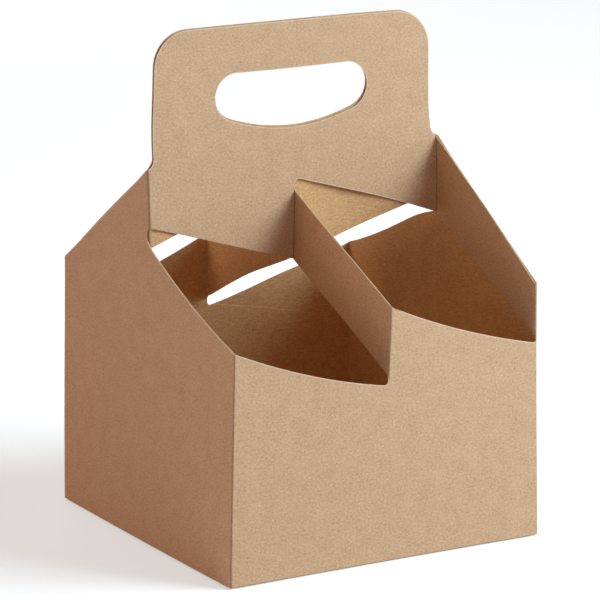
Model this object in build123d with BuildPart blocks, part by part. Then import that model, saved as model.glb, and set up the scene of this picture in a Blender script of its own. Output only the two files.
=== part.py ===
from build123d import *
import os

# A cup carrier folded from one sheet of kraft paperboard, in millimetres.
# Z is up, X runs along the handle panel and the origin is the middle of the base.
# The blank repeats itself after half a turn about Z, so one half is drawn and then turned.

# overall box of the standing carrier, and the sheet
width = 178.0
depth = 178.0
height = 262.0
board = 0.6

# front rim: two sagging steps, each falling to the rounded end of a slit
rim_corner = 118.0
rim_slit = 90.5
rim_high = 131.0
rim_high_slit = 100.5
rim_sag = 2.2
slit_radius = 2.4

# handle panel, measured down from its top to the shoulders where it meets the end walls
handle_rise = 70.0
handle_inset = 4.0
handle_radius = 20.0
shoulder_rise = 7.0
fold_length = 31.0

# strap from the front wall up to the middle of the handle panel
strap_front = 95.5
strap_drop = 18.0
strap_depth = 37.0
strap_gap = 5.0

# lining strap, laid flat against the inside of an end wall
lining_front = 105.0
lining_depth = 39.5

# hand hole: a straight top, round ends and a bowed lower edge
hole_width = 88.0
hole_radius = 12.7
hole_bow = 4.1
hole_margin = 25.0

# lock bottom: two long flaps meeting on a stepped seam, with two short flaps over them
lock_step = 14.0
lock_slant = 10.0
seam_gap = 1.0
flap_clear = 1.2
short_flap = 58.0
short_taper = 22.0

# places that follow from the sizes above
right = width / 2
rear = depth / 2
lined = right - 2 * board
handle_half = right - handle_inset
fold_radius = 0.85 * board
shoulder = height - handle_rise
shoulder_top = shoulder + shoulder_rise
handle_fold = shoulder - fold_length
strap_top = shoulder - strap_drop
strap_back = strap_top - strap_depth
strap_slit = strap_top + strap_gap
lining_back = shoulder - lining_depth
slit_head = rim_high_slit + 1.4 * slit_radius
slit_foot = handle_fold - 2 * slit_radius
flap_side = right - board - flap_clear
short_side = rear - board - flap_clear
short_end = short_side - short_taper
short_reach = short_flap - right

# the hole's lower edge is one arc that touches both end circles
hole_side = hole_width / 2 - hole_radius
hole_top = height - hole_margin
hole_low = hole_top - 2 * hole_radius - hole_bow
hole_axis = hole_top - hole_radius
bow_radius = (hole_side**2 + (hole_radius + hole_bow) ** 2 - hole_radius**2) / (2 * hole_bow)
bow_reach = bow_radius / (bow_radius - hole_radius)
bow_x = hole_side * bow_reach
bow_z = hole_low + bow_radius + (hole_axis - hole_low - bow_radius) * bow_reach

os.makedirs("parts", exist_ok=True)

# front wall, with both steps of its rim
with BuildPart() as front_wall:
    with BuildSketch(Plane.XZ.offset(rear)) as wall:
        with BuildLine():
            Polyline((-right, rim_corner), (-right, 0), (right, 0), (right, slit_head))
            Polyline((right, slit_head), (lined, slit_head), (lined, rim_high_slit))
            SagittaArc((lined, rim_high_slit), (0, rim_high), rim_sag)
            Line((0, rim_high), (0, rim_slit))
            SagittaArc((0, rim_slit), (-right, rim_corner), rim_sag)
        make_face()
        fillet(wall.vertices().sort_by_distance((0, rim_slit))[0], slit_radius)
        fillet(wall.vertices().sort_by_distance((lined, rim_high_slit))[0], slit_radius)
    extrude(amount=-board)

# left end wall: the rear half climbs to the handle fold, the front half stops at a round slit
with BuildPart() as end_wall:
    with BuildSketch(Plane.YZ.offset(-right)):
        with BuildLine():
            Polyline((-rear, rim_corner), (-rear, 0), (rear, 0), (rear, rim_high), (-board, shoulder))
            Line((-board, shoulder), (-board, handle_fold))
            SagittaArc((-board, handle_fold), (-board, slit_foot), -slit_radius)
            SagittaArc((-board, slit_foot), (-rear, rim_corner), rim_sag)
        make_face()
    extrude(amount=board)

# hand hole, drawn once for the handle panel
with BuildSketch() as hand_hole:
    with BuildLine():
        Line((-hole_side, hole_top), (hole_side, hole_top))
        ThreePointArc((hole_side, hole_top), (hole_width / 2, hole_axis), (bow_x, bow_z))
        ThreePointArc((bow_x, bow_z), (0, hole_low), (-bow_x, bow_z))
        ThreePointArc((-bow_x, bow_z), (-hole_width / 2, hole_axis), (-hole_side, hole_top))
    make_face()

# handle panel, front layer: its lower edge drops to the strap fold and steps up beyond it
with BuildPart() as handle:
    with BuildSketch(Plane.XZ) as panel:
        with BuildLine():
            Polyline((-right, shoulder), (-right, handle_fold), (0, strap_back), (board, strap_back))
            Polyline((board, strap_back), (board, strap_slit), (lined, lining_back))
            Polyline((lined, lining_back), (right - board, lining_back), (right - board, shoulder))
            TangentArc((handle_half, shoulder_top), (right - board, shoulder), tangent=(0, -1))
            Polyline((handle_half, shoulder_top), (handle_half, height), (0, height))
            Polyline((0, height), (-handle_half, height), (-handle_half, shoulder_top))
            TangentArc((-handle_half, shoulder_top), (-right, shoulder), tangent=(0, -1))
        make_face()
        fillet(panel.vertices().sort_by_distance((board, strap_slit))[0], slit_radius)
        fillet(panel.vertices().sort_by_distance((handle_half, height))[0], handle_radius)
        fillet(panel.vertices().sort_by_distance((-handle_half, height))[0], handle_radius)
        add(hand_hole.sketch, mode=Mode.SUBTRACT)
    extrude(amount=board)

# strap between the front wall and the handle panel, parting the two front cells
with BuildPart() as strap:
    with BuildSketch(Plane.YZ):
        with BuildLine():
            Polyline((-rear, strap_front), (0, strap_back), (0, strap_top), (-rear, rim_high), close=True)
        make_face()
    extrude(amount=board)

# lining strap against the right end wall, doubled back at the front corner
with BuildPart() as lining:
    with BuildSketch(Plane.YZ.offset(right - board)):
        with BuildLine():
            Polyline((-rear, rim_high), (-rear, lining_front), (0, lining_back), (board, lining_back))
            Polyline((board, lining_back), (board, shoulder), (-rear, rim_high))
        make_face()
    extrude(amount=-board)

# long bottom flap on the front fold, with its half of the stepped seam
with BuildPart() as long_flap:
    with BuildSketch(Plane.XY):
        with BuildLine():
            Polyline((-flap_side, lock_step - seam_gap), (-flap_side, -rear), (flap_side, -rear))
            Polyline((flap_side, -rear), (flap_side, -lock_step), (lock_slant, -lock_step))
            Line((lock_slant, -lock_step), (-lock_slant, lock_step - seam_gap))
            Line((-lock_slant, lock_step - seam_gap), (-flap_side, lock_step - seam_gap))
        make_face()
    extrude(amount=board)

# short bottom flap on the left fold, tapered and lying over the long ones
with BuildPart() as side_flap:
    with BuildSketch(Plane.XY.offset(board)):
        with BuildLine():
            Polyline((-right, -short_side), (short_reach, -short_end), (short_reach, short_end))
            Polyline((short_reach, short_end), (-right, short_side), (-right, -short_side))
        make_face()
    extrude(amount=board)

# the whole sheet: one half, the same half turned round, and the folds rounded
with BuildPart() as carrier:
    for piece in (front_wall, end_wall, handle, strap, lining, long_flap, side_flap):
        add(piece.part)
        add(piece.part, rotation=(0, 0, 180))
    upright = carrier.edges().filter_by(Axis.Z)
    at_wall = upright.filter_by(lambda e: abs(e.center().Y) > rear - board / 2)
    at_end = upright.filter_by(lambda e: abs(e.center().X) > right - board / 2)
    corner_folds = at_wall.filter_by(lambda e: abs(e.center().X) > right - board / 2)
    strap_folds = at_wall.filter_by(lambda e: abs(e.center().X) < board / 2)
    lining_folds = at_wall.filter_by(lambda e: abs(abs(e.center().X) - lined) < board / 2)
    lining_folds = lining_folds.filter_by(lambda e: e.center().Z > lining_front)
    handle_folds = at_end.filter_by(lambda e: abs(abs(e.center().Y) - board) < board / 2)
    flat = carrier.edges().filter_by(lambda e: e.center().Z < board / 2)
    base_folds = flat.filter_by(lambda e: abs(e.center().X) > right - board / 2)
    base_folds += flat.filter_by(lambda e: abs(e.center().Y) > rear - board / 2)
    fillet(corner_folds + base_folds + strap_folds + lining_folds + handle_folds, fold_radius)

carrier.part.label = "carrier"
export_step(carrier.part, "parts/carrier.step")
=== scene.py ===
"""Folds a kraft paperboard cup carrier from its flat blank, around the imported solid, on a pale studio floor.

The blank is one sheet that repeats itself after half a turn. Its flat coordinates are u, along the walls
and the handle, and v, up from the base. Lengths inside the functions are in millimetres.
"""

import math
from types import SimpleNamespace

import bmesh
import bpy
import numpy as np
from bpy.props import FloatProperty, PointerProperty, StringProperty
from mathutils import Matrix, Vector
from mathutils.geometry import delaunay_2d_cdt


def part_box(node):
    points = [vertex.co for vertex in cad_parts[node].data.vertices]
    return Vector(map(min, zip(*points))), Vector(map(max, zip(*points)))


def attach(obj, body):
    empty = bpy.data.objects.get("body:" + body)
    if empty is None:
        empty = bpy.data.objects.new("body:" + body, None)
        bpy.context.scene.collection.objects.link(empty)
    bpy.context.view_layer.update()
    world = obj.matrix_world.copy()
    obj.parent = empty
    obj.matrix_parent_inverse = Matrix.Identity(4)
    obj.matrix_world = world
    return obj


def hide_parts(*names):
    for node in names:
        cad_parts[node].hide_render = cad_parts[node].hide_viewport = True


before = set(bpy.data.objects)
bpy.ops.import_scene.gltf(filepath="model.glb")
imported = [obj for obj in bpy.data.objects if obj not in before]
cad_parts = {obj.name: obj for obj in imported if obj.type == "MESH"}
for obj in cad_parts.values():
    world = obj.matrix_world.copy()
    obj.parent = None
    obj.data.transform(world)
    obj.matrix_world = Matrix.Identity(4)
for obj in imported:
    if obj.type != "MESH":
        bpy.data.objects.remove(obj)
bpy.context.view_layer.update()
SOLID_LOW, SOLID_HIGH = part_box("carrier")
WIDTH, DEPTH, HEIGHT = (1000 * side for side in SOLID_HIGH - SOLID_LOW)

bl_info = {
    "name": "Cup Carrier",
    "version": (1, 0, 0),
    "blender": (4, 5, 0),
    "location": "View3D > Sidebar > Carrier",
    "description": "Folds a paperboard cup carrier from its flat blank and sets up its studio",
    "category": "Object",
}


def length(name, size_mm, description):
    """A length property that is written in millimetres and kept in metres."""
    return FloatProperty(
        name=name,
        description=description,
        default=size_mm / 1000,
        unit="LENGTH",
        subtype="DISTANCE",
        precision=5,
    )


def colour(name, value, description):
    """A colour property, an sRGB hex value."""
    return StringProperty(name=name, description=description, default=value)


def in_mm(group):
    """The lengths of a property group as plain numbers in millimetres."""
    return SimpleNamespace(**{key: 1000 * getattr(group, key) for key in group.__annotations__})


class CarrierSheet(bpy.types.PropertyGroup):
    """The board and the standing carrier's box."""

    width: length("Width", WIDTH, "Front wall, corner fold to corner fold")
    depth: length("Depth", DEPTH, "End wall, corner fold to corner fold")
    height: length("Height", HEIGHT, "Base to the top of the handle")
    board: length("Board", 0.6, "Thickness of the paperboard")
    layer_gap: length("Layer gap", 0.6, "Air between the two handle layers")
    fold_radius: length("Fold radius", 0.95, "Outer radius of a fold that turns outwards")
    crease_radius: length("Crease radius", 0.35, "Inner radius of a fold that turns inwards")
    # a pale band painted along the die cuts, a painted highlight that stands in for light on their edges; this
    # is its width
    cut_highlight: length("Lip", 0.6, "Width of the scuffed lip along a die cut")


class CarrierCut(bpy.types.PropertyGroup):
    """Heights and sizes of the cut lines, measured up from the base."""

    rim_corner: length("Low corner", 118.0, "Wall height at a low corner")
    rim_slit: length("Low slit", 90.5, "Lowest point of the front rim")
    rim_high: length("High corner", 131.0, "Wall height at a high corner and at the strap")
    rim_high_slit: length("High slit", 100.5, "Lowest point of the high half of the rim")
    rim_sag: length("Rim sag", 2.9, "How far a rim hangs under its straight chord")
    end_sag: length("End sag", 3.4, "The same on the low half of an end wall")
    shoulder: length("Shoulder", HEIGHT - 70.0, "Height where the handle leaves the end walls")
    shoulder_top: length("Shoulder top", HEIGHT - 65.4, "Height where the handle's sides begin")
    handle_half: length("Handle half width", 84.6, "Middle of the handle to its side, before the pinch")
    handle_taper: length("Handle taper", 0.8, "How much each side leans in up to the top corner")
    handle_radius: length("Handle corner", 20.0, "Radius of the handle's top corners")
    handle_fold: length("Handle fold", 162.4, "Lower end of the fold between handle and end wall")
    slit_foot: length("Slit foot", 152.5, "Height of the end wall's rim under the handle fold")
    strap_front: length("Strap front", 95.5, "Strap's lower edge at the front wall")
    strap_back: length("Strap back", 136.5, "Strap's lower edge at the handle")
    strap_top: length("Strap top", 174.0, "Strap's upper edge at the handle")
    strap_slit: length("Strap slit", 180.6, "Handle's lower edge beside the strap")
    lining_front: length("Lining front", 104.9, "Lining's lower edge at the corner")
    lining_back: length("Lining back", 151.1, "Lining's lower edge at the handle")
    lining_rise: length("Lining rise", 1.4, "How far the lining stands over the end wall, at most")
    hole_half: length("Hole half width", 46.2, "Half the hand hole's width, before the pinch")
    hole_radius: length("Hole end", 12.7, "Radius of the hand hole's round ends")
    hole_bow: length("Hole bow", 5.2, "How far the hand hole's lower edge bows down")
    hole_top: length("Hole top", HEIGHT - 25.0, "Height of the hand hole's straight edge")
    lock_step: length("Lock step", 14.0, "Half the step in the bottom seam")
    lock_slant: length("Lock slant", 10.0, "Half the run of the seam's slant")
    seam_gap: length("Seam gap", 0.3, "Gap between the long bottom flaps")
    short_flap: length("Short flap", 58.0, "Reach of a short bottom flap")
    short_taper: length("Short taper", 22.0, "How much each side of a short flap runs in")


class CarrierStance(bpy.types.PropertyGroup):
    """How a hand-folded carrier stands: small leans and bows that the flat drawing doesn't have."""

    pinch: length("Pinch", 3.3, "How far the handle draws each end wall in")
    rear_lift: length("Rear lift", 0.95, "How much higher the rear handle layer rides at the hand hole")
    layer_part: length("Layer part", 1.2, "How far the rear handle layer stands off beside the strap")
    fold_lap: length("Fold lap", 1.8, "How far the rear strap's fold laps over the front strap's")
    wall_bow: length("Wall bow", 0.7, "How far a wall bows out between its folds")


class CarrierFinish(bpy.types.PropertyGroup):
    """Colours of the board."""

    face: colour("Finished side", "#E0BC98", "Pale fibres on the calendered outer side of the board")
    face_dark: colour("Finished fibre", "#BA9371", "Dark fibres on the outer side")
    back: colour("Unfinished side", "#E4B988", "Pale fibres on the uncalendered inner side of the board")
    back_dark: colour("Unfinished fibre", "#C29767", "Dark fibres on the inner side")
    cut: colour("Cut edge", "#DFC6A2", "Fresh core of the board at a die cut")
    cut_dark: colour("Cut edge fibre", "#B08A5E", "Layers showing in a die cut")


class CarrierStudio(bpy.types.PropertyGroup):
    """Light, floor and camera."""

    sky: FloatProperty(name="Sky", description="Strength of the light from all round", default=0.185)
    sky_tint: colour("Sky tint", "#FFC4B4", "Light off the warm walls of a room")
    key: FloatProperty(name="Key", description="Power of the lamp at the right", default=46.4, unit="POWER")
    key_tint: colour("Key tint", "#E2F7FF", "Daylight, a little cool")
    fill: FloatProperty(name="Fill", description="Power of the lamp at the left", default=13.6, unit="POWER")
    fill_tint: colour("Fill tint", "#FFE4D4", "Lamplight off warm card")
    back: FloatProperty(name="Back", description="Power of the lamp behind", default=9.0, unit="POWER")
    back_tint: colour("Back tint", "#FFFFFF", "White light")
    floor_lift: FloatProperty(name="Floor lift", description="Glow that whitens the floor", default=0.52)
    floor_tint: colour("Floor tint", "#F2FDFF", "Against the warm light on the floor")
    lens: FloatProperty(name="Lens", description="Focal length for a 36 mm sensor", default=221.72)


# where the rear half of the blank lies on the sheet's map, beside the front half, in millimetres
REAR_CHART = (1000.0, 400.0)

# rows of the blank, in millimetres: where a flap's sides begin, and how far over its slit a corner joint ends
FLAP_SIDE = -2.4
JOINT_RISE = 2.7

# marks on the board: bark in the pulp; fold lines, dark outside (partly bruising, partly painted shade); a
# pale colour for the painted highlight along die cuts and for the paler inside of folds; and a bend pressed
# flat again
BARK, BRUISE_AND_SHADE, HIGHLIGHT_AND_FOLD_PALE, BENT = "#6B4A2E", "#4E3320", "#F4E6D2", "#F6CB94"

# movements of the standing sheet, in millimetres: from where to where each grows, and how far it reaches
PINCH_RISE = (0, 165)
BOW_TOP = 150
LEAN_RISE, LEAN_SPREAD = (0, 60), 12
LIFT_RISE, LIFT_FALL = (184, 204), (225, 250)
PART_MIDDLE, PART_REACH, PART_RISE, PART_DEPTH = 30, 32, (205, 165), (16, 5)
LAP_REACH, LAP_RISE = 20, (205, 185)

# leans of the standing sheet: a place on it and how far it stands from the drawn one, in millimetres; the
# numbers are a fit to the photograph, and part of them stands in for the picture's own perspective
LEANS = np.array([
    ((-89, -89, 0), (-0.3, 0.9, -0.4)), ((89, -89, 0), (1, -2.1, -0.1)), ((-89, 89, 0), (0.8, -0.5, -0.2)),
    ((89, 89, 0), (1.1, 0, -2.1)), ((0, 0, 0), (-2, 1.2, 0.9)), ((-89, -89, 118), (1, -0.5, 0.4)),
    ((89, -89, 131), (-0.4, 0.4, 0.5)), ((-89, 89, 131), (2.2, -1.1, -0.5)),
    ((89, 89, 118), (-0.7, 0.3, 0.1)), ((0, -89, 131), (0.6, -0.6, -0.3)), ((0, -89, 90.5), (-0.3, 0.3, 0.3)),
    ((89, -89, 100.5), (-0.1, 0.2, 0.3)), ((1.5, 89, 91), (-0.4, 1, 2.3)), ((0, 89, 131), (-0.8, 0.4, 2)),
    ((-89, 0, 192), (-0.3, 0.2, 0.1)), ((89, 0, 192), (0, 0.1, 0.6)), ((-89, 0, 161), (0.6, -0.3, 0.2)),
    ((89, 0, 152.5), (0.6, -0.3, 0.6)), ((89, 16, 146), (0.1, -0.1, 3.4)), ((0, 0, 174), (-0.8, 0.6, -1)),
    ((0, 0, 137), (-1.2, 0.6, 0.6)), ((-65, 0, 262), (-1, 0.8, -2.2)), ((65, 0, 262), (-2.1, 0.5, -2.7)),
    ((-85, 0, 230), (-1, 0.2, 0.5)), ((85, 0, 230), (-1.3, 0.8, -1.1)), ((-46, 0, 224), (-2.1, 1.1, -0.3)),
    ((46, 0, 224), (-2.3, 1, -0.3)), ((0, 45, 116), (-0.8, 0.3, 4.1)), ((45, 89, 101), (-1.1, 0.7, 3.6)),
    ((89, 45, 132), (-0.4, 0.5, 3)), ((-45, 89, 113), (0.8, -0.5, 2.9)), ((89, -45, 161), (-0.1, 0.4, 1.4)),
    ((84.9, 0, 203), (-1, 0.9, 1.2)), ((-84.9, 0, 203), (-1.3, 0.1, 1.5)),
])


def ramp(x, start, end):
    """Smooth step: 0 at start and 1 at end, level at both, as three t squared less two t cubed."""
    t = np.clip((x - start) / (end - start), 0, 1)
    return t * t * (3 - 2 * t)


def bell(offset, width):
    """Bell curve: e to the power of minus the square of offset over width."""
    return np.exp(-((offset / width) ** 2))


def chord(u, a, b, sag=0.0):
    """Height at u on the straight line from a to b, lowered by a parabola that is sag deep at its middle."""
    t = (u - a[0]) / (b[0] - a[0])
    return a[1] + (b[1] - a[1]) * t - 4 * sag * t * (1 - t)


def rounded(a, a_pull, b, b_pull, count=10):
    """Cubic Bezier from a to b; each pull is the offset of the control point from its end."""
    t = np.linspace(0, 1, count)[:, None]
    a, b = np.array(a, float), np.array(b, float)
    c, d = a + a_pull, b + b_pull
    return a * (1 - t) ** 3 + 3 * c * t * (1 - t) ** 2 + 3 * d * t**2 * (1 - t) + b * t**3


def quarter(centre, radii, start, stop, count=12):
    """Points on an ellipse about centre, from one angle in degrees to another."""
    angle = np.radians(np.linspace(start, stop, count))
    return np.column_stack((centre[0] + radii[0] * np.cos(angle), centre[1] + radii[1] * np.sin(angle)))


def stations(sheet):
    """Columns u of the blank's grid: every 4.5 mm on the panels, close together across each fold line."""
    half, deep = sheet.width / 2, sheet.depth / 2
    folds = np.array([-half - 2 * deep, -half - deep, -half, 0.0, half])
    across = np.array([-2.4, -1.8, -1.5, -1.2, -0.9, -0.6, -0.3, 0, 0.3, 0.6, 0.9, 1.2, 1.5, 1.8, 2.4])
    margin, count = 4, 19
    panels = [np.linspace(a + margin, b - margin, count) for a, b in zip(folds[:-1], folds[1:])]
    columns = np.unique(np.concatenate([(folds[:, None] + across).ravel(), *panels]).round(4))
    return columns[(columns >= folds[0]) & (columns <= folds[-1])]


def levels(sheet, cut):
    """Rows v of the blank's grid: every 2.25 mm, and at the ends of the joints between the two halves."""
    flap = np.array([FLAP_SIDE, -1.8, -1.2, -0.9, -0.6, -0.3, 0, 0.3, 0.6, 0.9, 1.2])
    ends = np.array([cut.rim_high_slit + JOINT_RISE, cut.lining_front, cut.rim_high])
    pitch, room = 2.25, 0.8
    rise = np.arange(pitch, sheet.height, pitch)
    rise = rise[np.abs(rise[:, None] - ends).min(1) > room]
    return np.sort(np.concatenate((np.arange(-100, -5, 8.0), flap, ends, rise)))


def cut_lines(sheet, cut):
    """Closed loops of the half blank in (u, v): its outline, the first slit and the hand hole.

    Each edge is a straight line between fold lines, or that line lowered by a parabola, taken at the grid's
    columns. The ends of slits are cubic Beziers, and the handle's corners and the hole's ends ellipses.
    """
    half, deep = sheet.width / 2, sheet.depth / 2
    columns, rows = stations(sheet), levels(sheet, cut)
    rear, fold, corner = -half - 2 * deep, -half - deep, -half
    apart = 0.12

    def edge(u_from, u_to, a, b, sag=0.0):
        low, high = min(u_from, u_to), max(u_from, u_to)
        inner = columns[(columns > low + apart) & (columns < high - apart)]
        u = np.concatenate(([u_from], inner if u_from < u_to else inner[::-1], [u_to]))
        return np.column_stack((u, chord(u, a, b, sag)))

    def upright(u, v_from, v_to):
        v = rows[(rows >= min(v_from, v_to)) & (rows <= max(v_from, v_to))]
        v = v if v_from < v_to else v[::-1]
        return np.column_stack((np.full_like(v, u), v))

    # bottom: short flap, corner, long flap, each cut back from the corner by its own clearance
    clear, side, step = sheet.board + 1.2, sheet.board + 2.6, 6.0
    long_left = deep + cut.lock_step - cut.seam_gap
    long_right = deep - cut.lock_step
    bottom = spaced([
        (rear, 0), (rear + clear, 0), (rear + clear, FLAP_SIDE),
        (rear + clear + cut.short_taper, -cut.short_flap),
        (corner - clear - cut.short_taper, -cut.short_flap),
        (corner - clear, FLAP_SIDE), (corner - clear, 0), (corner, 0), (corner + side, 0),
        (corner + side, FLAP_SIDE), (corner + side, -long_left),
        (-cut.lock_slant, -long_left), (cut.lock_slant, -long_right),
        (half - side, -long_right), (half - side, FLAP_SIDE), (half - side, 0), (half, 0),
    ], step)
    # right side: corner joint, second slit, lining joint
    joint = cut.rim_high_slit + JOINT_RISE
    rim_a, rim_b = (0, cut.rim_high), (half, cut.rim_high_slit)
    rim_end = (half - 3.2, chord(half - 3.2, rim_a, rim_b, cut.rim_sag))
    notch = rounded((half, joint), (-0.2, -1.3), rim_end, (2.0, -0.45), 9)
    slit_low = (-deep + 1.6, chord(-deep + 1.6, (-deep, cut.strap_top), rim_a))
    slit_high = (-deep + 5.0, chord(-deep + 5.0, (-deep, cut.strap_slit), (half - deep, cut.lining_back)))
    slit_end = rounded(slit_low, (-2.6, 2.0), slit_high, (-6.2, 1.9), 15)
    lining_a, lining_b = (half - deep, cut.lining_back), (half, cut.lining_front)
    # handle: x runs from its middle, and both sides lean in
    middle = -deep
    top_half = cut.handle_half - cut.handle_taper
    crown = sheet.height - cut.handle_radius
    shoulder_size = (half - cut.handle_half, cut.shoulder_top - cut.shoulder)
    right_shoulder = quarter((middle + half, cut.shoulder_top), shoulder_size, 270, 180, 8)
    right_side = np.linspace(right_shoulder[-1], (middle + top_half, crown), 11)
    right_crown = quarter((middle + top_half - cut.handle_radius, crown), (cut.handle_radius,) * 2, 0, 90)
    right_half = np.concatenate((right_shoulder, right_side, right_crown))
    left_half = (right_half * (-1, 1) + (2 * middle, 0))[::-1]
    top = np.linspace(right_half[-1], left_half[0], 32)
    outline = np.concatenate((
        bottom,
        upright(half, 0, joint),
        notch,
        edge(rim_end[0], 0, rim_a, rim_b, cut.rim_sag),
        edge(0, slit_low[0], rim_a, (-deep, cut.strap_top)),
        slit_end,
        edge(slit_high[0], half - deep, (-deep, cut.strap_slit), lining_a),
        edge(half - deep, half, lining_a, lining_b),
        upright(half, cut.lining_front, cut.rim_high),
        edge(half, half - deep, (half, cut.rim_high), (half - deep, cut.shoulder), -cut.lining_rise),
        right_half, top, left_half,
        edge(fold, rear, (fold, cut.shoulder), (rear, cut.rim_high)),
        upright(rear, cut.rim_high, cut.lining_front),
        upright(rear, joint, 0),
    ))
    # first slit: under the handle's left half and the strap, above the low rims
    foot_a, foot_b = (fold, cut.slit_foot), (corner, cut.rim_corner)
    low_b = (0, cut.rim_slit)
    foot = (fold + 2.4, chord(fold + 2.4, foot_a, foot_b, cut.end_sag))
    head = (fold + 1.6, chord(fold + 1.6, (fold, cut.handle_fold), (middle, cut.strap_back)))
    low_end = (-2.4, chord(-2.4, foot_b, low_b, cut.rim_sag))
    strap_end = (-2.4, chord(-2.4, (middle, cut.strap_back), (0, cut.strap_front)))
    slit = np.concatenate((
        edge(foot[0], corner, foot_a, foot_b, cut.end_sag),
        edge(corner, low_end[0], foot_b, low_b, cut.rim_sag),
        rounded(low_end, (3.4, -0.6), strap_end, (2.6, -1.1), 11),
        edge(strap_end[0], middle, (middle, cut.strap_back), (0, cut.strap_front)),
        edge(middle, head[0], (fold, cut.handle_fold), (middle, cut.strap_back)),
        rounded(head, (-4.6, 1.0), foot, (-7.0, 4.4), 13),
    ))
    # hand hole: a straight top, round ends and a bowed lower edge
    axis = cut.hole_top - cut.hole_radius
    flat = cut.hole_half - cut.hole_radius
    low = axis - cut.hole_radius - cut.hole_bow
    bow = (flat**2 + (cut.hole_radius + cut.hole_bow) ** 2 - cut.hole_radius**2) / (2 * cut.hole_bow)
    meet = math.degrees(math.atan2(bow - cut.hole_radius - cut.hole_bow, flat))
    hole = np.concatenate((
        quarter((middle + flat, axis), (cut.hole_radius,) * 2, -meet, 90, 26),
        np.linspace((middle + flat, cut.hole_top), (middle - flat, cut.hole_top), 17),
        quarter((middle - flat, axis), (cut.hole_radius,) * 2, 90, 180 + meet, 26),
        quarter((middle, low + bow), (bow,) * 2, 180 + meet, 360 - meet, 26),
    ))
    return [tidy_loop(loop) for loop in (outline, slit, hole)]


def spaced(corners, step):
    """The polyline through corners, with more points every step, none nearer than room to a corner."""
    room = 1
    corners = np.array(corners, float)
    run = np.concatenate(([0.0], np.cumsum(np.linalg.norm(np.diff(corners, axis=0), axis=1))))
    more = np.arange(step, run[-1], step)
    more = more[np.abs(more[:, None] - run).min(1) > room]
    at = np.sort(np.concatenate((run, more)))
    return np.column_stack([np.interp(at, run, side) for side in corners.T])


def tidy_loop(loop):
    """The loop without points that repeat the one before them."""
    least = 0.02
    step = np.linalg.norm(loop - np.roll(loop, 1, axis=0), axis=1)
    return loop[step > least]


def lip_line(loop, width):
    """The loop moved onto the sheet by width, along the mean of the normals of the two edges at each point.

    The sheet lies to the left of the outline, which runs anticlockwise, and outside the slit and the hole.
    """
    ahead = np.roll(loop, -1, axis=0) - loop
    ahead = ahead / np.linalg.norm(ahead, axis=1)[:, None]
    behind = np.roll(ahead, 1, axis=0)
    normal = (ahead + behind) @ np.array(((0, 1), (-1, 0)))
    return loop + normal * width / np.maximum((normal * normal).sum(1) / 2, 0.5)[:, None]


def inside(points, loops):
    """True for each point that an even-odd count of the loops' edges, crossed by a ray, puts on the sheet."""
    crossed = np.zeros(len(points), bool)
    for loop in loops:
        a, b = loop[:, None], np.roll(loop, -1, axis=0)[:, None]
        spans = (a[..., 1] > points[:, 1]) != (b[..., 1] > points[:, 1])
        rise = np.where(b[..., 1] == a[..., 1], 1.0, b[..., 1] - a[..., 1])
        at = a[..., 0] + (points[:, 1] - a[..., 1]) * (b[..., 0] - a[..., 0]) / rise
        crossed ^= (np.sum(spans & (points[:, 0] < at), axis=0) % 2).astype(bool)
    return crossed


def clearance(points, loops):
    """Distance from each point to the nearest of the loops' edges."""
    nearest = np.full(len(points), np.inf)
    for loop in loops:
        for a, b in zip(np.array_split(loop, 40), np.array_split(np.roll(loop, -1, axis=0), 40)):
            run = b - a
            t = np.einsum("pki,ki->pk", points[:, None] - a, run) / np.maximum((run**2).sum(1), 1e-9)
            foot = a + np.clip(t, 0, 1)[..., None] * run
            nearest = np.minimum(nearest, np.linalg.norm(points[:, None] - foot, axis=2).min(1))
    return nearest


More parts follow.
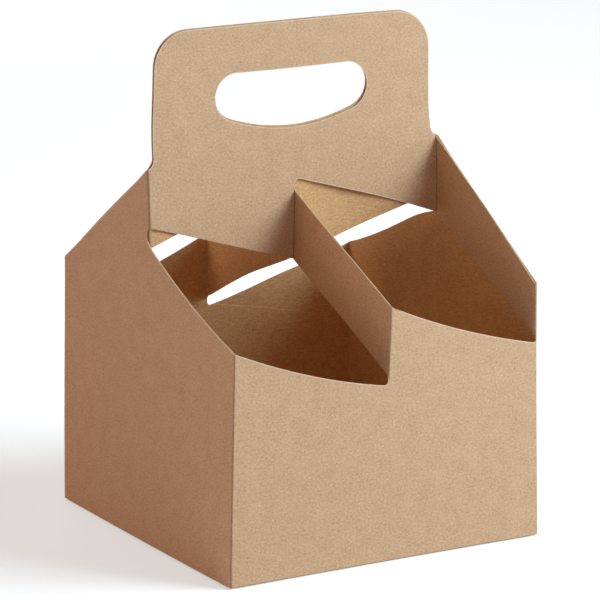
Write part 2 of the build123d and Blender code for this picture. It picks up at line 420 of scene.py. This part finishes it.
def cut_blank(sheet, cut):
    """Grid points (u, v) of the half blank, its triangles, and each point's share of the painted highlight at
    a cut.

    The grid is the columns of stations() by the rows of levels(), every second one away from folds, trimmed
    by the cut lines. A second line runs along each cut, the painted highlight's width away, and a constrained
    Delaunay triangulation joins the points. The share of painted highlight, a pale band that stands in for
    light on the cut edges, falls straight from 1 at a cut to 0 at that line, and is 0 at the joints between
    the halves, at the lower edges of handle and strap, and round the lining.
    """
    loops = cut_lines(sheet, cut)
    highlight_edges = [lip_line(loop, side * sheet.cut_highlight) for loop, side in zip(loops, (1, -1, -1))]
    columns = stations(sheet)
    rows = levels(sheet, cut)
    grid = np.stack(np.meshgrid(columns, rows, indexing="ij"), axis=-1).reshape(-1, 2)
    pitch = sheet.width / 2
    fold_zone, crease_zone, base_zone = 4.2, 2.5, 2.5
    at_fold = np.abs(grid[:, 0] - (grid[:, 0] / pitch).round() * pitch) < fold_zone
    coarse = (np.searchsorted(rows, grid[:, 1]) % 2 == 0) | (grid[:, 1] < base_zone)
    grid = grid[inside(grid, loops) & (at_fold | coarse)]
    # points keep off the cuts: closely at a crease, further away on the open panels
    room_crease, room_panel, room_highlight = 0.14, 1.4, 0.12
    tight = np.abs(grid[:, 0] - (grid[:, 0] / pitch).round() * pitch) < crease_zone
    room = np.where(tight | (np.abs(grid[:, 1]) < base_zone), room_crease, room_panel)
    grid = grid[(clearance(grid, loops) > room) & (clearance(grid, highlight_edges) > room_highlight)]
    starts = np.cumsum([0] + [len(loop) for loop in loops + highlight_edges])
    edges = np.concatenate([
        np.column_stack((np.arange(a, b), np.roll(np.arange(a, b), -1)))
        for a, b in zip(starts[:-1], starts[1:])
    ])
    points = np.concatenate((*loops, *highlight_edges, grid))
    out = delaunay_2d_cdt(points.tolist(), edges.tolist(), [], 1, 1e-5)
    flat = np.array(out[0], float).reshape(-1, 2)
    faces = np.array(out[2], int).reshape(-1, 3)
    faces = faces[inside(flat[faces].mean(1), loops)]
    a, b, c = (flat[faces[:, i]] for i in range(3))
    turn = (b[:, 0] - a[:, 0]) * (c[:, 1] - a[:, 1]) - (b[:, 1] - a[:, 1]) * (c[:, 0] - a[:, 0])
    faces = np.where(turn[:, None] < 0, faces[:, ::-1], faces)
    # painted highlight: full at a cut, fading to nothing a band's width in
    share = np.clip(1 - clearance(flat, loops) / sheet.cut_highlight, 0, 1)
    u, v = flat.T
    under = np.where(
        u > 0,
        chord(u, (0, cut.lining_back), (pitch, cut.lining_front)),
        np.interp(u, (-2 * pitch, -pitch, 0), (cut.handle_fold, cut.strap_back, cut.strap_front)),
    )
    # the painted highlight is left off the joints between the halves, the lower edges of handle and strap, and
    # the lining's edges
    no_highlight = (np.abs(u + pitch) > 2 * pitch - sheet.cut_highlight) | (np.abs(v - under) < sheet.cut_highlight + 0.3)
    no_highlight |= (u > 2) & (v > cut.rim_high - 2)
    share[no_highlight] = 0
    used, faces = np.unique(faces[np.abs(turn) > 1e-6], return_inverse=True)
    return flat[used], faces.reshape(-1, 3), share[used]


def follow(u, bends):
    """Plan path of the folded sheet: straight legs between bends, and a quarter ellipse inside each.

    A bend is (u at entry, u at exit, entry point, corner point, exit point). Inside it the point is
    corner + (entry - corner)(1 - sin a) + (exit - corner)(1 - cos a), with a from nothing to a quarter turn.
    """
    ends = [at for bend in bends for at in bend[:2]]
    marks = np.array([mark for bend in bends for mark in (bend[2], bend[4])], float)
    plan = np.column_stack([np.interp(u, ends, marks[:, i]) for i in (0, 1)])
    for start, stop, entry, corner, leave in bends:
        entry, corner, leave = (np.array(p, float) for p in (entry, corner, leave))
        a = np.clip((u - start) / (stop - start), 0, 1)[:, None] * math.pi / 2
        curve = corner + (entry - corner) * (1 - np.sin(a)) + (leave - corner) * (1 - np.cos(a))
        plan = np.where(((u > start) & (u < stop))[:, None], curve, plan)
    return plan


def fold(flat, sheet, cut):
    """Place of each blank point (u, v) in the standing carrier.

    The plan place comes from one of three paths along u: round the walls; along the strap, from the front
    wall to the handle and its end wall; or straight across the handle to the lining. Where a slit ends on a
    fold line, a smooth step in v takes the point from one path to the next. Height is v, and below the base
    fold the flaps run inwards.
    """
    u, v = flat.T
    half, deep = sheet.width / 2, sheet.depth / 2
    rear_u, fold_u = -half - 2 * deep, -half - deep
    r, k = sheet.fold_radius, sheet.crease_radius
    y = sheet.board + sheet.layer_gap / 2
    glue, lining_split = 0.25, (142.0, 103.9)
    hem = sheet.board + glue
    lined = half - 2 * hem
    # bends, each in order of u
    rear_corner = (rear_u - r, rear_u + r, (-half + r, deep), (-half, deep), (-half, deep - r))
    front_corner = (-half - r, -half + r, (-half, -deep + r), (-half, -deep), (-half + r, -deep))
    right_corner = (half - r, half + r, (half - r, -deep), (half, -deep), (half, -deep + r))
    rear_hem = (rear_u, rear_u + hem, (-half + hem, deep), (-half, deep), (-half, deep - hem))
    handle_bend = (fold_u - r, fold_u + r, (-half, r), (-half, -y), (-half + r, -y))
    strap_back = (-deep - k, -deep + y + k, (-k, -y), (0, -y), (0, -y - k))
    strap_front = (-r, r, (0, -deep + r), (0, -deep), (r, -deep))
    lining_bend = (lined - deep - k, half - deep + y + k, (lined - k, -y), (lined, -y), (lined, -y - k))
    lining_hem = (half - hem, half, (lined, -deep + hem), (lined, -deep), (half - hem, -deep))
    round_walls = follow(u, [rear_corner, front_corner, right_corner])
    by_strap = follow(u, [rear_hem, handle_bend, strap_back, strap_front, right_corner])
    by_handle = follow(u, [rear_hem, handle_bend, lining_bend, lining_hem])
    # which path a point takes: above the first slit it leaves the walls, above the second it is handle
    slit_low = np.interp(u, [fold_u, -half, 0], [cut.slit_foot, cut.rim_corner, cut.rim_slit])
    slit_high = np.interp(u, [fold_u, -deep, 0], [cut.handle_fold, cut.strap_back, cut.strap_front])
    strap_split = (cut.strap_top + cut.strap_slit) / 2
    second = np.interp(u, [-deep, half - deep, half], [strap_split, *lining_split])
    leaves = (v > (slit_low + slit_high) / 2).astype(float)
    leaves = np.where(np.abs(u) < r, ramp(v, cut.rim_slit + 0.5, cut.strap_front + 0.8), leaves)
    leaves = np.where(u >= r, 0.0, leaves)
    leaves = np.where(np.abs(u - fold_u) < r, ramp(v, cut.handle_fold - 3.4, cut.handle_fold + 0.2), leaves)
    leaves = np.where(u <= fold_u - r, ramp(v, cut.lining_front - 2.2, cut.lining_front), leaves)
    handle = (v > second).astype(float)
    handle = np.where(np.abs(u + deep) < y + k, ramp(v, cut.strap_top + 0.4, cut.strap_slit - 0.6), handle)
    handle = np.where(u < -deep - k, 0.0, handle)
    plan = round_walls + (by_strap - round_walls) * leaves[:, None]
    plan = plan + (by_handle - plan) * handle[:, None]
    # base fold and flaps
    ahead, behind = (follow(u + step, [rear_corner, front_corner, right_corner]) for step in (0.05, -0.05))
    along = (ahead - behind) / np.linalg.norm(ahead - behind, axis=1)[:, None]
    inwards = np.column_stack((-along[:, 1], along[:, 0]))
    a = np.clip((r - v) / (2 * r), 0, 1) * math.pi / 2
    inset = np.where(v < -r, -v, r * (1 - np.cos(a)))
    z = np.where(v > r, v, r * (1 - np.sin(a)))
    # the short flaps lie on the long ones
    above = sheet.board + 0.15
    z = z + np.where(u < -half, above * ramp(inset, 1.0, 3.0), 0)
    return np.column_stack((plan + inwards * inset[:, None], z))


def settle(place, sheet, stance, rear):
    """Small leans and bows of the standing sheet, each a smooth function of place.

    Pinch: x shrinks towards the middle plane, most at y = 0, from nothing at the base to all of it under
    the shoulders. Bow: the front and rear walls move out by a dome, highest at mid height. Leans: at each of
    LEANS the sheet moves as its row says, and elsewhere by the sum of distances to those places, each taken
    with LEAN_SPREAD at a right angle, that gives so there. The rest moves the rear half only. Rear lift: its
    handle layer rides higher. Layer part: beside the strap that layer stands off from the front one by a
    bell in x. Fold lap: its strap's fold moves along the handle by a bell in x and y. The last two act at
    every height under the handle, so they move the rear bottom flap near the middle too.
    """
    half, deep = sheet.width / 2, sheet.depth / 2
    marks, moves = LEANS[:, 0], LEANS[:, 1]
    apart = np.hypot(np.linalg.norm(marks[:, None] - marks, axis=2), LEAN_SPREAD)
    far = np.hypot(np.linalg.norm(place[:, None] - marks, axis=2), LEAN_SPREAD)
    lean = far @ np.linalg.solve(apart, moves)
    x, y, z = place.T
    across = np.clip(1 - (y / deep) ** 2, 0, 1)
    lap = stance.fold_lap * bell(np.hypot(x, y), LAP_REACH) * ramp(z, *LAP_RISE)
    x = x * (1 - stance.pinch / half * across * ramp(z, *PINCH_RISE)) + lean[:, 0] - lap * rear
    low = np.clip(z * (BOW_TOP - z) / (BOW_TOP / 2) ** 2, 0, 1)
    dome = np.clip(1 - (x / half) ** 2, 0, 1) ** 2
    bow = stance.wall_bow * np.sign(y) * dome * low * ramp(np.abs(y), deep - 4, deep - 2)
    beside = np.clip(1 - ((x - PART_MIDDLE) / PART_REACH) ** 2, 0, 1) ** 2
    parted = stance.layer_part * beside * ramp(z, *PART_RISE) * ramp(y, *PART_DEPTH)
    y = y + bow + lean[:, 1] + parted * rear
    lift = stance.rear_lift * (ramp(z, *LIFT_RISE) - 0.5 * ramp(z, *LIFT_FALL))
    z = z + lift * rear + lean[:, 2] * ramp(z, *LEAN_RISE)
    return np.column_stack((x, y, z))


def linear(value):
    """An sRGB hex value as linear red, green, blue and a full alpha."""
    srgb = [int(value[i : i + 2], 16) / 255 for i in (1, 3, 5)]
    return [c / 12.92 if c <= 0.04045 else ((c + 0.055) / 1.055) ** 2.4 for c in srgb] + [1.0]


def node(tree, kind, inputs=None, **settings):
    """Adds a node, with its settings, and gives each input a value or a link from another node's output."""
    made = tree.nodes.new(kind)
    for key, value in settings.items():
        setattr(made, key, value)
    for key, value in (inputs or {}).items():
        if isinstance(value, bpy.types.NodeSocket):
            tree.links.new(value, made.inputs[key])
        else:
            made.inputs[key].default_value = value
    return made


def per_mm(size):
    """Pattern scale on the sheet's own map, in metres, for a pattern that repeats every size millimetres."""
    return 1000 / size


def bend_mark(tree, sheet_map):
    """Strength of the pale line that a bent sheet keeps, inside the rear wall, on the sheet's own map.

    The line is 73 mm long and 1.2 mm wide, clear at its start and faint at its end. The map is turned so
    that x runs along it; the strength is a wedge in y times a fall in x, and nothing before its start or past
    its end.
    """
    start, slant = (REAR_CHART[0] - 2.5, REAR_CHART[1] + 91.3), (-71.5, -14.2)
    long, wide, clear, faint = 0.073, 0.0012, 0.85, 0.3
    turned = node(
        tree,
        "ShaderNodeMapping",
        {
            "Vector": sheet_map,
            "Location": (start[0] / 1000, start[1] / 1000, 0),
            "Rotation": (0, 0, math.atan2(slant[1], slant[0])),
        },
        vector_type="TEXTURE",
    ).outputs["Vector"]
    place = node(tree, "ShaderNodeSeparateXYZ", {0: turned}).outputs
    off = node(tree, "ShaderNodeMath", {0: place["Y"]}, operation="ABSOLUTE").outputs[0]
    wedge = node(
        tree, "ShaderNodeMapRange", {"Value": off, "From Max": wide / 2, "To Min": 1.0, "To Max": 0.0}
    ).outputs["Result"]
    fall = node(
        tree, "ShaderNodeMapRange", {"Value": place["X"], "From Max": long, "To Min": clear, "To Max": faint}
    ).outputs["Result"]
    within = node(
        tree, "ShaderNodeMath", {0: place["X"], 1: long / 2, 2: long / 2}, operation="COMPARE"
    ).outputs[0]
    line = node(tree, "ShaderNodeMath", {0: wedge, 1: fall}, operation="MULTIPLY").outputs[0]
    return node(tree, "ShaderNodeMath", {0: line, 1: within}, operation="MULTIPLY").outputs[0]


def kraft_material(
    name, pale, dark, *, contrast, run, roughness, crease=0.0, fold_tone=BRUISE_AND_SHADE, cut_highlight=0.0, bent=False
):
    """Kraft paperboard: long pulp fibres pressed flat, matt, mottled in clouds, with a few bark specks.

    The fibres run along the walls, each run millimetres long. On the real board they are 0.2 mm wide, and
    here 1 mm so that they show. crease is how much of its fold colour a fold shows: dark outside, partly
    bruising and partly painted shade, and paler inside. The amount for a cut is how much of a pale painted
    highlight the lip of a die cut shows, and bent adds the pale bend inside the rear wall.
    """
    wide, grain_size, cloud_size, net = 1.0, 1.1, 9.0, 9.0
    middle, spread = 1.2, 0.42 / contrast
    material = bpy.data.materials.new(name)
    material.use_nodes = True
    tree = material.node_tree
    tree.nodes.clear()
    sheet_map = node(tree, "ShaderNodeUVMap", uv_map="sheet").outputs["UV"]
    fibre_map = node(
        tree, "ShaderNodeMapping", {"Vector": sheet_map, "Scale": (per_mm(run), per_mm(wide), 1.0)}
    ).outputs["Vector"]
    fibre = node(
        tree, "ShaderNodeTexNoise", {"Vector": fibre_map, "Scale": 1.0, "Detail": 3.0, "Roughness": 0.65}
    )
    grain = node(
        tree,
        "ShaderNodeTexNoise",
        {"Vector": sheet_map, "Scale": per_mm(grain_size), "Detail": 2.0, "Roughness": 0.6},
    )
    cloud = node(
        tree,
        "ShaderNodeTexNoise",
        {"Vector": sheet_map, "Scale": per_mm(cloud_size), "Detail": 3.0, "Roughness": 0.6},
    )
    weave = node(
        tree, "ShaderNodeMath", {0: fibre.outputs["Fac"], 1: grain.outputs["Fac"]}, operation="ADD"
    ).outputs[0]
    both = node(
        tree, "ShaderNodeMath", {0: cloud.outputs["Fac"], 1: 0.4, 2: weave}, operation="MULTIPLY_ADD"
    ).outputs[0]
    share = node(
        tree,
        "ShaderNodeMapRange",
        {"Value": both, "From Min": middle - spread, "From Max": middle + spread},
    ).outputs["Result"]
    body = node(
        tree, "ShaderNodeMix", {0: share, 6: linear(dark), 7: linear(pale)}, data_type="RGBA"
    ).outputs[2]
    # bark specks: a few cells of the net have a dot about 0.8 mm across
    cell = node(tree, "ShaderNodeTexVoronoi", {"Vector": sheet_map, "Scale": per_mm(net)})
    dot = node(
        tree,
        "ShaderNodeMapRange",
        {"Value": cell.outputs["Distance"], "From Min": 0.02, "From Max": 0.06, "To Min": 0.6, "To Max": 0.0},
    ).outputs["Result"]
    chosen = node(
        tree, "ShaderNodeMath", {0: cell.outputs["Color"], 1: 0.62}, operation="GREATER_THAN"
    ).outputs[0]
    speck = node(tree, "ShaderNodeMath", {0: dot, 1: chosen}, operation="MULTIPLY").outputs[0]
    flecked = node(
        tree, "ShaderNodeMix", {0: speck, 6: body, 7: linear(BARK)}, data_type="RGBA"
    ).outputs[2]
    # fold lines are darker outside, partly bruising and partly painted shade, and paler inside; the lips of
    # die cuts get a pale painted highlight
    shaded = flecked
    for mark, amount, end in (("crease", crease, fold_tone), ("cut_highlight", cut_highlight, HIGHLIGHT_AND_FOLD_PALE)):
        place = node(
            tree, "ShaderNodeAttribute", attribute_name=mark, attribute_type="GEOMETRY"
        ).outputs["Fac"]
        factor = node(tree, "ShaderNodeMath", {0: place, 1: amount}, operation="MULTIPLY").outputs[0]
        shaded = node(
            tree, "ShaderNodeMix", {0: factor, 6: shaded, 7: linear(end)}, data_type="RGBA"
        ).outputs[2]
    if bent:
        mark = bend_mark(tree, sheet_map)
        shaded = node(
            tree, "ShaderNodeMix", {0: mark, 6: shaded, 7: linear(BENT)}, data_type="RGBA"
        ).outputs[2]
    bump = node(
        tree, "ShaderNodeBump", {"Height": weave, "Strength": 0.12, "Distance": 0.0002}
    ).outputs["Normal"]
    shader = node(
        tree,
        "ShaderNodeBsdfPrincipled",
        {
            "Base Color": shaded,
            "Roughness": roughness,
            "IOR": 1.45,
            "Specular IOR Level": 0.25,
            "Normal": bump,
        },
    )
    node(tree, "ShaderNodeOutputMaterial", {"Surface": shader.outputs[0]})
    return material


def sheet_mesh(places, triangles, chart, marks):
    """The sheet without thickness, in metres, with its flat map and marks, joined where the halves meet."""
    mesh = bpy.data.meshes.new("carrier_sheet")
    mesh.from_pydata((places / 1000).tolist(), [], triangles.tolist())
    corners = chart[triangles.ravel()].astype(np.float32)
    mesh.uv_layers.new(name="sheet").data.foreach_set("uv", corners.ravel())
    for name, share in marks.items():
        layer = mesh.attributes.new(name, "FLOAT", "POINT")
        layer.data.foreach_set("value", np.tile(share, 2).astype(np.float32))
    work = bmesh.new()
    work.from_mesh(mesh)
    bmesh.ops.remove_doubles(work, verts=work.verts, dist=2e-5)
    work.to_mesh(mesh)
    work.free()
    return mesh


def thicken(carrier, board, context):
    """Gives the sheet its thickness, inwards from its outer side, and keeps that as the object's mesh."""
    wall = carrier.modifiers.new("board", "SOLIDIFY")
    wall.thickness = board / 1000
    wall.offset = -1.0
    wall.use_even_offset = True
    wall.material_offset = 1
    wall.material_offset_rim = 2
    context.view_layer.update()
    solid = bpy.data.meshes.new_from_object(carrier.evaluated_get(context.evaluated_depsgraph_get()))
    carrier.modifiers.clear()
    carrier.data = solid
    solid.name = "carrier_sheet"
    solid.shade_smooth()
    solid.set_sharp_from_angle(angle=math.radians(40))


class CARRIER_OT_fold_sheet(bpy.types.Operator):
    """Cut the half blank, fold it, add its half-turned twin and give the sheet its thickness"""

    bl_idname = "carrier.fold_sheet"
    bl_label = "Fold Sheet"

    def execute(self, context):
        sheet = in_mm(context.scene.carrier_sheet)
        cut = in_mm(context.scene.carrier_cut)
        stance = in_mm(context.scene.carrier_stance)
        finish = context.scene.carrier_finish
        flat, faces, cut_highlight = cut_blank(sheet, cut)
        if len(faces) < 1000:
            raise RuntimeError("the blank wasn't cut: its outline crosses itself")
        front = fold(flat, sheet, cut)
        rear = front * (-1, -1, 1)
        places = np.concatenate((settle(front, sheet, stance, False), settle(rear, sheet, stance, True)))
        triangles = np.concatenate((faces, faces + len(flat)))
        chart = np.concatenate((flat, flat + REAR_CHART)) / 1000
        marks = {"crease": crease_marks(flat, sheet, cut), "cut_highlight": cut_highlight}
        mesh = sheet_mesh(places, triangles, chart, marks)
        carrier = bpy.data.objects.new("carrier_sheet", mesh)
        context.scene.collection.objects.link(carrier)
        for material in (
            # outside: pressed smooth, short fibres, dark folds that are partly bruising and partly painted
            # shade, and a pale painted highlight along the cuts
            kraft_material(
                "calendered_kraft", finish.face, finish.face_dark,
                contrast=1.2, run=1.5, roughness=0.72, crease=0.7, cut_highlight=0.75,
            ),
            # inside: rougher, with longer fibres, pale folds, a faint painted highlight along the cuts and the
            # bend in the rear wall
            kraft_material(
                "uncalendered_kraft", finish.back, finish.back_dark,
                contrast=1.7, run=3.5, roughness=0.9, crease=0.6, fold_tone=HIGHLIGHT_AND_FOLD_PALE, cut_highlight=0.15, bent=True,
            ),
            # cut edges: the paler core of the board
            kraft_material(
                "die_cut_kraft_edge", finish.cut, finish.cut_dark, contrast=1.0, run=1.5, roughness=0.9
            ),
        ):
            mesh.materials.append(material)
        thicken(carrier, sheet.board, context)
        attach(carrier, "root")
        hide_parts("carrier")
        return {"FINISHED"}


def crease_marks(flat, sheet, cut):
    """Share of the fold mark at each blank point: a bell curve about 0.5 mm wide across every fold line.

    Folds that turn inwards, at the strap and the lining, get twice as much as the others. Outside the mark is
    a dark line, partly bruising and partly painted shade, the painted shade strongest in those inward creases.
    """
    u, v = flat.T
    half, deep = sheet.width / 2, sheet.depth / 2
    outer = [
        bell(u + half, 0.5) * (v < cut.rim_corner + 1),
        bell(u - half, 0.5),
        bell(u + half + 2 * deep, 0.5),
        bell(u + half + deep, 0.6) * (v > cut.handle_fold - 1),
        bell(u, 0.4) * (v > cut.strap_front) * (v < cut.rim_high + 1) * 0.4,
        bell(v, 0.5),
    ]
    # painted shade: the inward creases at the strap and the lining get the full mark, twice the others
    inner = [
        bell(u + deep - 0.45, 0.7) * (v > cut.strap_back - 1) * (v < cut.strap_top + 1),
        bell(u + 0.4, 0.9) * (v > cut.lining_back - 3),
    ]
    return np.maximum(0.5 * np.max(outer, axis=0), np.max(inner, axis=0))


def light_sky(scene, studio):
    """Even, warm light from all round; whatever looks past the floor sees white."""
    world = bpy.data.worlds.new("studio_sky")
    world.use_nodes = True
    tree = world.node_tree
    tree.nodes.clear()
    seen = rays_seen(tree)
    strength = node(
        tree, "ShaderNodeMapRange", {"Value": seen, "To Min": studio.sky, "To Max": 1.0}
    ).outputs["Result"]
    tint = node(
        tree, "ShaderNodeMix", {0: seen, 6: linear(studio.sky_tint), 7: (1, 1, 1, 1)}, data_type="RGBA"
    ).outputs[2]
    sky = node(tree, "ShaderNodeBackground", {"Color": tint, "Strength": strength})
    node(tree, "ShaderNodeOutputWorld", {"Surface": sky.outputs[0]})
    scene.world = world


def lay_floor(scene, studio):
    """A floor of pale matt paper that looks white where nothing shades it, just under the carrier."""
    floor_mesh = bpy.data.meshes.new("studio_floor")
    reach, drop, pale = 12.0, 0.0004, 0.86
    floor_mesh.from_pydata(
        [(-reach, -reach, 0), (reach, -reach, 0), (reach, reach, 0), (-reach, reach, 0)], [], [(0, 1, 2, 3)]
    )
    paper = bpy.data.materials.new("studio_paper")
    paper.use_nodes = True
    tree = paper.node_tree
    tree.nodes.clear()
    lift = node(
        tree, "ShaderNodeMath", {0: rays_seen(tree), 1: studio.floor_lift}, operation="MULTIPLY"
    ).outputs[0]
    matt = node(tree, "ShaderNodeBsdfDiffuse", {"Color": (pale, pale, pale, 1)})
    glow = node(tree, "ShaderNodeEmission", {"Color": linear(studio.floor_tint), "Strength": lift})
    both = node(tree, "ShaderNodeAddShader", {0: matt.outputs[0], 1: glow.outputs[0]})
    node(tree, "ShaderNodeOutputMaterial", {"Surface": both.outputs[0]})
    floor_mesh.materials.append(paper)
    floor = bpy.data.objects.new("studio_floor", floor_mesh)
    floor.location.z = -drop
    scene.collection.objects.link(floor)


def place_camera(scene, studio):
    """The camera, left of the front and a little above, tilted down at the carrier."""
    eye = bpy.data.cameras.new("photo_view")
    eye.lens = studio.lens
    eye.sensor_width = 36.0
    eye.clip_start, eye.clip_end = 0.05, 60.0
    camera = bpy.data.objects.new("photo_view", eye)
    yaw, rise, roll = math.radians(-31.1682), math.radians(13.8461), math.radians(0.1918)
    turn = Matrix.Rotation(yaw, 4, "Z") @ Matrix.Rotation(math.pi / 2 - rise, 4, "X")
    turn = turn @ Matrix.Rotation(roll, 4, "Z")
    camera.matrix_world = Matrix.Translation((-0.94600, -1.56864, 0.56673)) @ turn
    scene.collection.objects.link(camera)
    scene.camera = camera


class CARRIER_OT_set_studio(bpy.types.Operator):
    """Pale floor, even light with a large lamp at the right, and the camera"""

    bl_idname = "carrier.set_studio"
    bl_label = "Set Studio"

    def execute(self, context):
        scene = context.scene
        studio = scene.carrier_studio
        scene.view_settings.view_transform = "Standard"
        light_sky(scene, studio)
        lay_floor(scene, studio)
        # a soft key at the right, a warm fill at the left and a little behind, and a lamp for the far side
        hang_lamp(scene, "key_lamp", (1.20, -1.05, 1.10), 1.3, studio.key, studio.key_tint)
        hang_lamp(scene, "fill_lamp", (-2.1, 0.6, 0.25), 1.0, studio.fill, studio.fill_tint)
        hang_lamp(scene, "back_lamp", (0.5, 2.1, 1.1), 1.5, studio.back, studio.back_tint)
        place_camera(scene, studio)
        return {"FINISHED"}


def hang_lamp(scene, name, place, size, power, tint):
    """A square area lamp aimed at the carrier."""
    light = bpy.data.lights.new(name, "AREA")
    light.size = size
    light.energy = power
    light.color = linear(tint)[:3]
    lamp = bpy.data.objects.new(name, light)
    lamp.location = place
    aim = Vector((0, 0, 0.12)) - lamp.location
    lamp.rotation_euler = aim.to_track_quat("-Z", "Y").to_euler()
    scene.collection.objects.link(lamp)


def rays_seen(tree):
    """1 for rays from the camera, from gloss and through glass, 0 for the rays that carry light."""
    path = node(tree, "ShaderNodeLightPath")
    straight = node(
        tree,
        "ShaderNodeMath",
        {0: path.outputs["Is Camera Ray"], 1: path.outputs["Is Glossy Ray"]},
        operation="MAXIMUM",
    ).outputs[0]
    return node(
        tree, "ShaderNodeMath", {0: straight, 1: path.outputs["Is Transmission Ray"]}, operation="MAXIMUM"
    ).outputs[0]


class CARRIER_PT_build(bpy.types.Panel):
    """Sidebar panel with the steps in order"""

    bl_idname = "CARRIER_PT_build"
    bl_label = "Cup Carrier"
    bl_space_type = "VIEW_3D"
    bl_region_type = "UI"
    bl_category = "Carrier"

    def draw(self, context):
        layout = self.layout
        layout.operator(CARRIER_OT_fold_sheet.bl_idname)
        layout.operator(CARRIER_OT_set_studio.bl_idname)
        for name in SETTINGS:
            box = layout.box()
            group = getattr(context.scene, name)
            for key in group.__annotations__:
                box.prop(group, key)


SETTINGS = {
    "carrier_sheet": CarrierSheet,
    "carrier_cut": CarrierCut,
    "carrier_stance": CarrierStance,
    "carrier_finish": CarrierFinish,
    "carrier_studio": CarrierStudio,
}
CLASSES = (*SETTINGS.values(), CARRIER_OT_fold_sheet, CARRIER_OT_set_studio, CARRIER_PT_build)


def register():
    for each in CLASSES:
        bpy.utils.register_class(each)
    for name, group in SETTINGS.items():
        setattr(bpy.types.Scene, name, PointerProperty(type=group))


def unregister():
    for name in SETTINGS:
        delattr(bpy.types.Scene, name)
    for each in reversed(CLASSES):
        bpy.utils.unregister_class(each)


def main():
    register()
    bpy.ops.carrier.fold_sheet()
    bpy.ops.carrier.set_studio()


if __name__ == "__main__":
    main()
